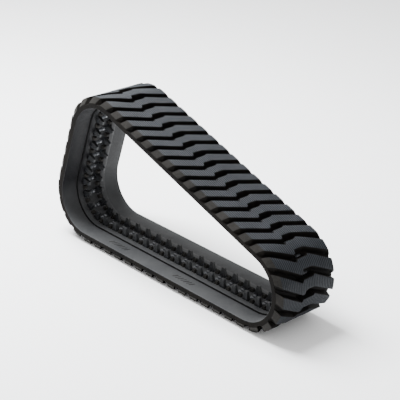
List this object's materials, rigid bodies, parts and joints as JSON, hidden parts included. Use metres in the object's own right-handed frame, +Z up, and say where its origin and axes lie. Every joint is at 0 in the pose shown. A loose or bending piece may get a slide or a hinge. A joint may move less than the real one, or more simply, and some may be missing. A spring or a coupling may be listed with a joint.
{
  "type": "rubber track",
  "caption": "Endless rubber track for a compact track loader: zigzag block tread outside, twin guide horns on steel cores inside, held in its fitted rounded-triangle shape.",
  "frame": {"origin": "on the ground face of the bottom lugs, under the middle of the loop's length, on the belt's centre line", "axes": "+X forward along the bottom run towards the front idler, +Y across the belt to its far edge, +Z up"},
  "size_m": [1.7519, 0.412, 0.8891],
  "materials": {
    "carcass_rubber": "matt moulded black rubber",
    "cord_ply": "steel cords in skim rubber",
    "core_steel": "dark forged steel"
  },
  "bodies": {
    "bottom_run": {"rubber_carcass_bottom_run": "carcass_rubber", "steel_cord_ply_bottom_run": "cord_ply", "steel_core_01": "core_steel", "steel_core_02": "core_steel", "steel_core_03": "core_steel", "steel_core_04": "core_steel", "steel_core_05": "core_steel", "steel_core_06": "core_steel", "steel_core_07": "core_steel", "steel_core_08": "core_steel", "steel_core_09": "core_steel", "steel_core_10": "core_steel", "steel_core_11": "core_steel", "steel_core_12": "core_steel", "steel_core_13": "core_steel", "steel_core_14": "core_steel", "steel_core_15": "core_steel"},
    "front_bend": {"rubber_carcass_front_bend": "carcass_rubber", "steel_cord_ply_front_bend": "cord_ply", "steel_core_16": "core_steel", "steel_core_17": "core_steel", "steel_core_18": "core_steel", "steel_core_19": "core_steel", "steel_core_20": "core_steel", "steel_core_21": "core_steel"},
    "top_run": {"rubber_carcass_top_run": "carcass_rubber", "steel_cord_ply_top_run": "cord_ply", "steel_core_22": "core_steel", "steel_core_23": "core_steel", "steel_core_24": "core_steel", "steel_core_25": "core_steel", "steel_core_26": "core_steel", "steel_core_27": "core_steel", "steel_core_28": "core_steel", "steel_core_29": "core_steel", "steel_core_30": "core_steel", "steel_core_31": "core_steel", "steel_core_32": "core_steel", "steel_core_33": "core_steel", "steel_core_34": "core_steel", "steel_core_35": "core_steel"},
    "sprocket_bend": {"rubber_carcass_sprocket_bend": "carcass_rubber", "steel_cord_ply_sprocket_bend": "cord_ply", "steel_core_36": "core_steel", "steel_core_37": "core_steel", "steel_core_38": "core_steel", "steel_core_39": "core_steel"},
    "rear_run": {"rubber_carcass_rear_run": "carcass_rubber", "steel_cord_ply_rear_run": "cord_ply", "steel_core_40": "core_steel", "steel_core_41": "core_steel", "steel_core_42": "core_steel", "steel_core_43": "core_steel", "steel_core_44": "core_steel"},
    "rear_bend": {"rubber_carcass_rear_bend": "carcass_rubber", "steel_cord_ply_rear_bend": "cord_ply", "steel_core_45": "core_steel", "steel_core_46": "core_steel", "steel_core_47": "core_steel", "steel_core_48": "core_steel"}
  },
  "joints": [
    {"name": "bottom_front_flex", "type": "hinge", "parent": "bottom_run", "child": "front_bend", "pos_m": [0.60738, 0, 0.04877], "axis": [0, -1, 0], "range_deg": [0, 12.38]},
    {"name": "top_front_flex", "type": "hinge", "parent": "front_bend", "child": "top_run", "pos_m": [0.71414, 0, 0.4274], "axis": [0, -1, 0], "range_deg": [-12.38, 0]},
    {"name": "sprocket_front_flex", "type": "hinge", "parent": "top_run", "child": "sprocket_bend", "pos_m": [-0.42345, 0, 0.82173], "axis": [0, -1, 0], "range_deg": [0, 11.68]},
    {"name": "rear_bottom_flex", "type": "hinge", "parent": "bottom_run", "child": "rear_bend", "pos_m": [-0.63962, 0, 0.04873], "axis": [0, -1, 0], "range_deg": [0, 11.74]},
    {"name": "rear_lower_flex", "type": "hinge", "parent": "rear_bend", "child": "rear_run", "pos_m": [-0.81366, 0, 0.33501], "axis": [0, -1, 0], "range_deg": [-11.74, 0]}
  ],
  "couplings": [
    {"joint": "top_front_flex", "follows": "bottom_front_flex", "ratio": -1},
    {"joint": "sprocket_front_flex", "follows": "bottom_front_flex", "ratio": 0.9439},
    {"joint": "rear_bottom_flex", "follows": "bottom_front_flex", "ratio": 0.94868},
    {"joint": "rear_lower_flex", "follows": "bottom_front_flex", "ratio": -0.94868}
  ]
}
